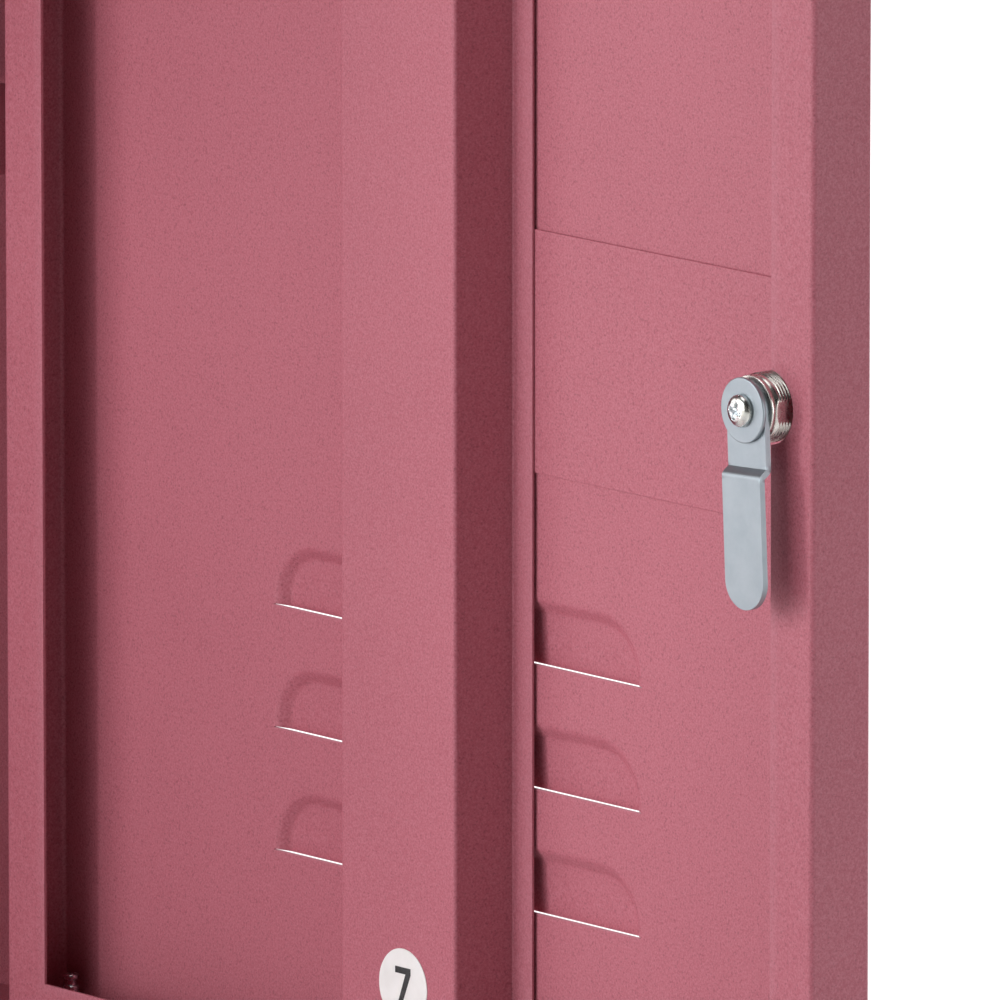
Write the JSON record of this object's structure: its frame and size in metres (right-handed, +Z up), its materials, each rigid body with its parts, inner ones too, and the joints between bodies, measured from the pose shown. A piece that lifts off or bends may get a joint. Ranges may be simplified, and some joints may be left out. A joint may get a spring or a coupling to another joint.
{
  "type": "locker cabinet",
  "caption": "Free-standing steel locker cabinet with an inset, pin-hinged louvered door, a top-hat door stiffener, a cam lock and an inner shelf.",
  "frame": {"origin": "centre of the cabinet's base, on the surface it stands on", "axes": "+X to the cabinet's right as seen from the front, +Y to its back, +Z up; the door is hinged at +X and stands open along -Y at rest"},
  "size_m": [0.4404, 0.7342, 0.562],
  "materials": {
    "powder_coat": "satin dusty-pink powder coat with fine orange peel",
    "zinc_plate": "bright zinc plate",
    "satin_zinc": "satin tumbled zinc plate",
    "nickel_plate": "nickel-plated die cast",
    "black_rubber": "matt rubber",
    "nylon": "natural nylon",
    "white_label": "printed vinyl disc"
  },
  "bodies": {
    "cabinet": {"left_side_panel": "powder_coat", "right_side_panel": "powder_coat", "back_panel": "powder_coat", "top_panel": "powder_coat", "bottom_panel": "powder_coat", "plinth": "powder_coat", "left_jamb": "powder_coat", "right_jamb": "powder_coat", "header_rail": "powder_coat", "sill_rail": "powder_coat", "shelf": "powder_coat", "shelf_clips": "zinc_plate", "side_screws": "zinc_plate", "back_screws": "zinc_plate", "panel_nuts": "zinc_plate", "door_bumpers": "black_rubber", "upper_hinge_bush": "nylon", "lower_hinge_bush": "nylon"},
    "door": {"door_pan": "powder_coat", "door_stiffener": "powder_coat", "lock_plate": "powder_coat", "upper_hinge_pin": "zinc_plate", "lower_hinge_pin": "zinc_plate", "number_disc": "white_label", "lock_housing": "nickel_plate", "lock_nut": "nickel_plate"},
    "lock_cylinder": {"lock_plug": "nickel_plate", "stop_ring": "nickel_plate", "lock_cam": "satin_zinc", "cam_washer": "satin_zinc", "cam_screw": "zinc_plate"}
  },
  "joints": [
    {"name": "door_hinge", "type": "hinge", "parent": "cabinet", "child": "door", "pos_m": [0.164, -0.195, 0.04], "axis": [0, 0, 1], "range_deg": [-90, 35]},
    {"name": "lock_turn", "type": "hinge", "parent": "door", "child": "lock_cylinder", "pos_m": [0.169, -0.514, 0.262], "axis": [-1, 0, 0], "range_deg": [0, 87]}
  ]
}
